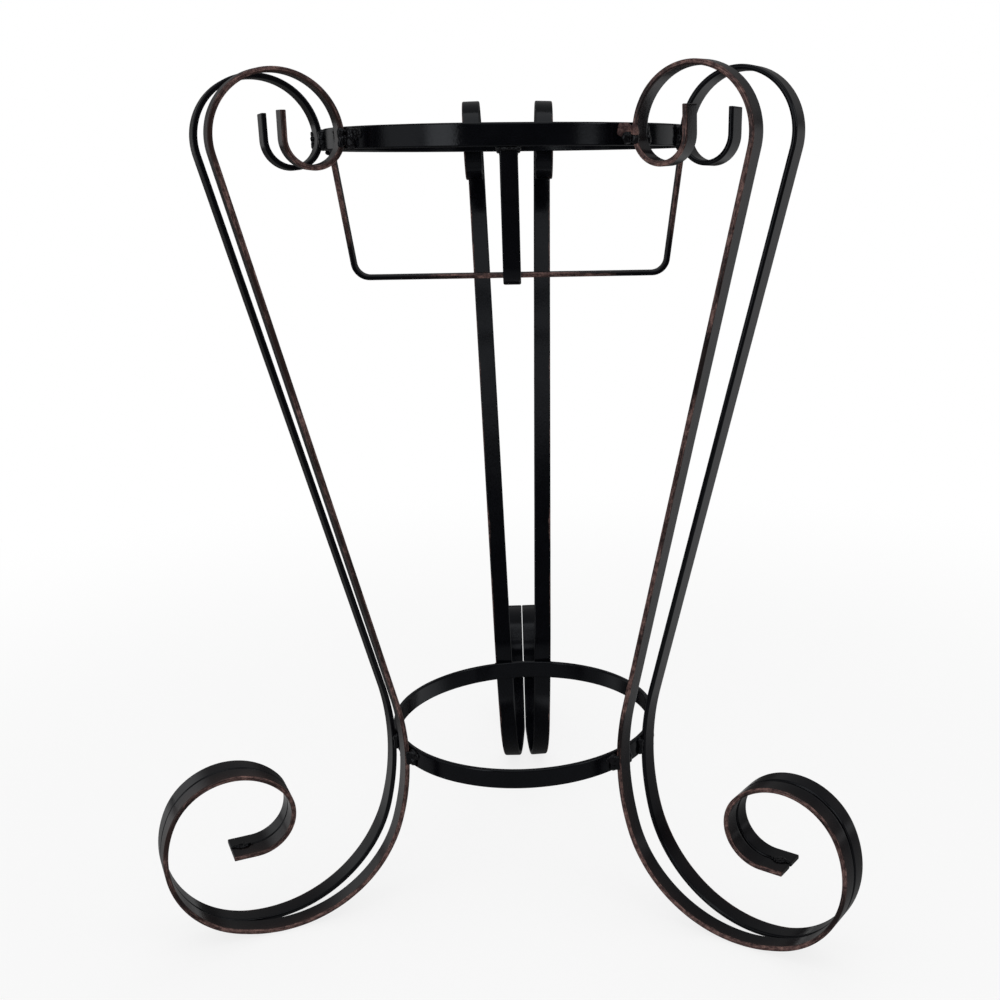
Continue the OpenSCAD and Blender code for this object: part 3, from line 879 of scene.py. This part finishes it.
def studio_room():
    """White to the camera. Gloss sees it dim, lighter above and in the two corners behind the stand."""
    world = bpy.data.worlds.new("studio")
    n = Nodes(world)
    direction = n.add("ShaderNodeTexCoord").outputs["Generated"]
    height = n.axes(direction)[2]
    light = n.add("ShaderNodeLightPath").outputs
    parts = compass(n, direction)
    beyond = n.times(n.band(parts[1], 0.2, 0.6), n.band(height, BEHIND_FROM, BEHIND_FULL))
    over = n.math("MAXIMUM", n.band(height, HIGH_FROM, HIGH_FULL), beyond)
    glossy = n.plus(SIDE_GLOSS, n.times(over, HIGH_GLOSS - SIDE_GLOSS))
    right_share = n.band(height, 0.0, RIGHT_LOW_HEIGHT, 1.0, RIGHT_HIGH_SHARE)
    corners = corner_glow(n, parts, LEFT_FROM_ROOM, right_share)
    glossy = n.plus(glossy, n.times(corners, n.band(height, CORNER_TOP_END, CORNER_TOP_FROM)))
    level = n.plus(ROOM_LEVEL, n.times(light["Is Glossy Ray"], n.math("SUBTRACT", glossy, ROOM_LEVEL)))
    shown = n.math("MAXIMUM", light["Is Camera Ray"], light["Is Transmission Ray"])
    level = n.plus(n.times(level, n.math("SUBTRACT", 1.0, shown)), shown)
    n.finish("ShaderNodeOutputWorld", n.add("ShaderNodeBackground", Color=WHITE, Strength=level))
    return world


LAMP_AIM = Vector((0, 0, 0.3))


def softbox(name, azimuth, elevation, width, height, radiance, distance=1.7):
    """Rectangular lamp. Azimuth 0 is the viewer's side and 90 the right; radiance 1 is paper white."""
    data = bpy.data.lights.new(name, "AREA")
    data.shape = "RECTANGLE"
    data.size, data.size_y = width, height
    data.energy = radiance * math.pi * width * height
    back = Vector((sind(azimuth) * cosd(elevation), -cosd(azimuth) * cosd(elevation), sind(elevation)))
    lamp = linked(name, data)
    lamp.location = LAMP_AIM + back * distance
    lamp.rotation_mode = "QUATERNION"
    lamp.rotation_quaternion = back.to_track_quat("Z", "Y")
    lamp.visible_camera = False


floor_mesh = bpy.data.meshes.new("studio_floor")
bm = bmesh.new()
below = Matrix.Translation((0, 0, -FLOOR_DROP))
bmesh.ops.create_circle(bm, cap_ends=True, segments=FLOOR_SIDES, radius=FLOOR_R, matrix=below)
bm.to_mesh(floor_mesh)
bm.free()
floor_mesh.materials.append(floor_paper())
floor = linked("studio_floor", floor_mesh)

bpy.context.scene.world = studio_room()

softbox("key", -39, 10, 0.52, 1.2, 1.1)
softbox("side", -64, 8, 0.80, 1.0, 0.35)
softbox("fill", 56, 27, 0.60, 0.7, 1.2)
softbox("low_fill", 47, 1, 0.36, 0.50, 0.55)
softbox("top", 2, 27, 1.3, 0.52, 0.36)
softbox("dome", 0, 78, 1.8, 1.8, 0.5, distance=1.9)

# ---- Camera, fitted to the photograph ----
FOCAL_PX, CENTRE_PX, IMAGE_PX, SENSOR = 1245.506, (599.1705, 497.3816), 1000.0, 36.0
YAW, PITCH, ROLL = 3.83195, 14.89664, -0.6760
EYE_AT = Vector((0.0, -0.80581, 0.48003))
ahead = Vector((sind(YAW) * cosd(PITCH), cosd(YAW) * cosd(PITCH), -sind(PITCH)))
right = Vector((cosd(YAW), -sind(YAW), 0))
above = right.cross(ahead)
axis_x = right * cosd(ROLL) + above * sind(ROLL)
axis_y = above * cosd(ROLL) - right * sind(ROLL)
camera_data = bpy.data.cameras.new("camera")
camera = linked("camera", camera_data)
camera.matrix_world = Matrix.Translation(EYE_AT) @ Matrix((axis_x, axis_y, -ahead)).transposed().to_4x4()
camera_data.sensor_width = SENSOR
camera_data.lens = FOCAL_PX / IMAGE_PX * SENSOR
camera_data.shift_x = (IMAGE_PX / 2 - CENTRE_PX[0]) / IMAGE_PX
camera_data.shift_y = (CENTRE_PX[1] - IMAGE_PX / 2) / IMAGE_PX
camera_data.clip_start, camera_data.clip_end = 0.02, 50.0
bpy.context.scene.camera = camera
bpy.context.scene.view_settings.view_transform = "Standard"
